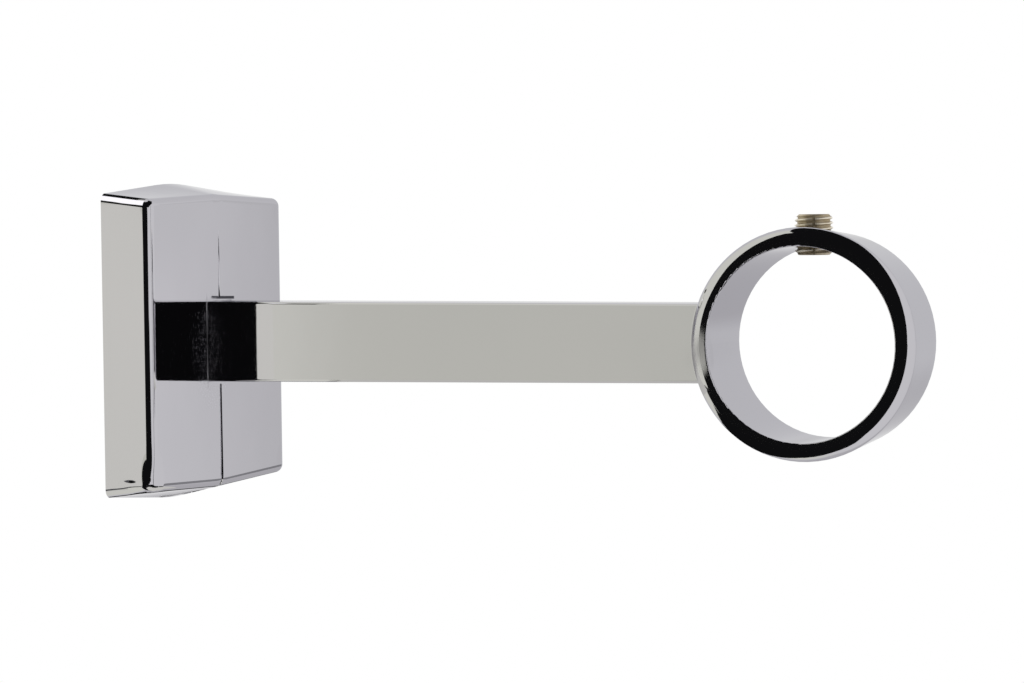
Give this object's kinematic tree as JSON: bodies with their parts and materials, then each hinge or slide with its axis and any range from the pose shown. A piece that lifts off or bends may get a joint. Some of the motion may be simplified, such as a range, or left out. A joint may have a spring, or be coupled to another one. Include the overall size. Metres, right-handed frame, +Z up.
{
  "type": "centre pole bracket",
  "caption": "Chrome curtain pole centre bracket: a square hollow wall base, a flat bar arm and a ring for the pole with a grub screw on top.",
  "frame": {"origin": "middle of the base on the wall plane", "axes": "+Y into the wall, so the arm runs out along -Y; +X along the pole; +Z up"},
  "size_m": [0.0448, 0.1247, 0.05],
  "materials": {
    "chrome_plate": "bright chrome plating on a zinc casting",
    "zinc_plated_steel": "bright zinc plating on pressed steel",
    "nickel_plated_steel": "nickel plating on steel"
  },
  "bodies": {
    "bracket": {"bracket_body": "chrome_plate", "wall_plate": "zinc_plated_steel"},
    "pole_screw": {"pole_grub_screw": "nickel_plated_steel"},
    "base_screw": {"base_grub_screw": "nickel_plated_steel"}
  },
  "joints": [
    {"name": "pole_screw_travel", "type": "slide", "parent": "bracket", "child": "pole_screw", "axis": [0, 0, 1], "range_m": [-0.0012, 0.0016]},
    {"name": "base_screw_travel", "type": "slide", "parent": "bracket", "child": "base_screw", "axis": [0, 0, -1], "range_m": [0, 0.0015]}
  ]
}
